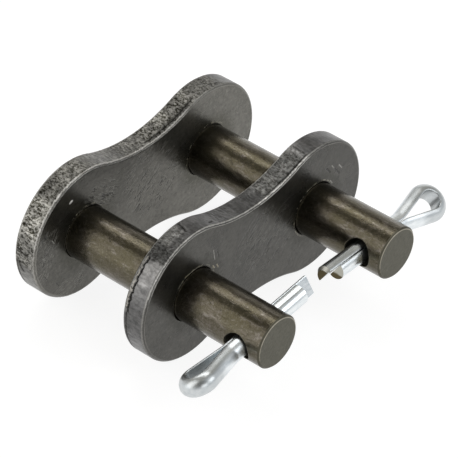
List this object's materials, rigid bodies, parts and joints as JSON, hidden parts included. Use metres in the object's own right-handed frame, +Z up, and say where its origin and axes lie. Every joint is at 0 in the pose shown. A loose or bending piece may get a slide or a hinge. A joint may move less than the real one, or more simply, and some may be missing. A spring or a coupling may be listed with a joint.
{
  "type": "chain connecting link",
  "caption": "Cottered roller-chain connecting link: a waisted plate with riveted pins, a slip-on front plate and a split cotter through each pin's free end.",
  "frame": {"origin": "on the surface the link stands on, midway between the two pins and midway along them", "axes": "+X from the left pin to the right pin, -Y towards the pins' free ends, +Z up"},
  "size_m": [0.0544, 0.0394, 0.0206],
  "materials": {
    "plate_steel": "dark heat-treated steel, satin faces, rough blanked edges",
    "pin_steel": "dark brown hardened steel, satin ground",
    "cotter_wire": "bright drawn half-round wire"
  },
  "bodies": {
    "pin_link": {"back_plate": "plate_steel", "left_pin": "pin_steel", "right_pin": "pin_steel"},
    "front_plate_body": {"front_plate": "plate_steel"},
    "left_cotter": {"left_cotter_pin": "cotter_wire"},
    "right_cotter": {"right_cotter_pin": "cotter_wire"}
  },
  "joints": [
    {"name": "front_plate_slide", "type": "slide", "parent": "pin_link", "child": "front_plate_body", "axis": [0, -1, 0], "range_m": [-0.016, 0.008]},
    {"name": "left_cotter_slide", "type": "slide", "parent": "pin_link", "child": "left_cotter", "axis": [-0.9936, 0, -0.1132], "range_m": [-0.0015, 0.0152]},
    {"name": "right_cotter_slide", "type": "slide", "parent": "pin_link", "child": "right_cotter", "axis": [0.9998, 0, -0.0175], "range_m": [-0.0015, 0.0152]}
  ]
}
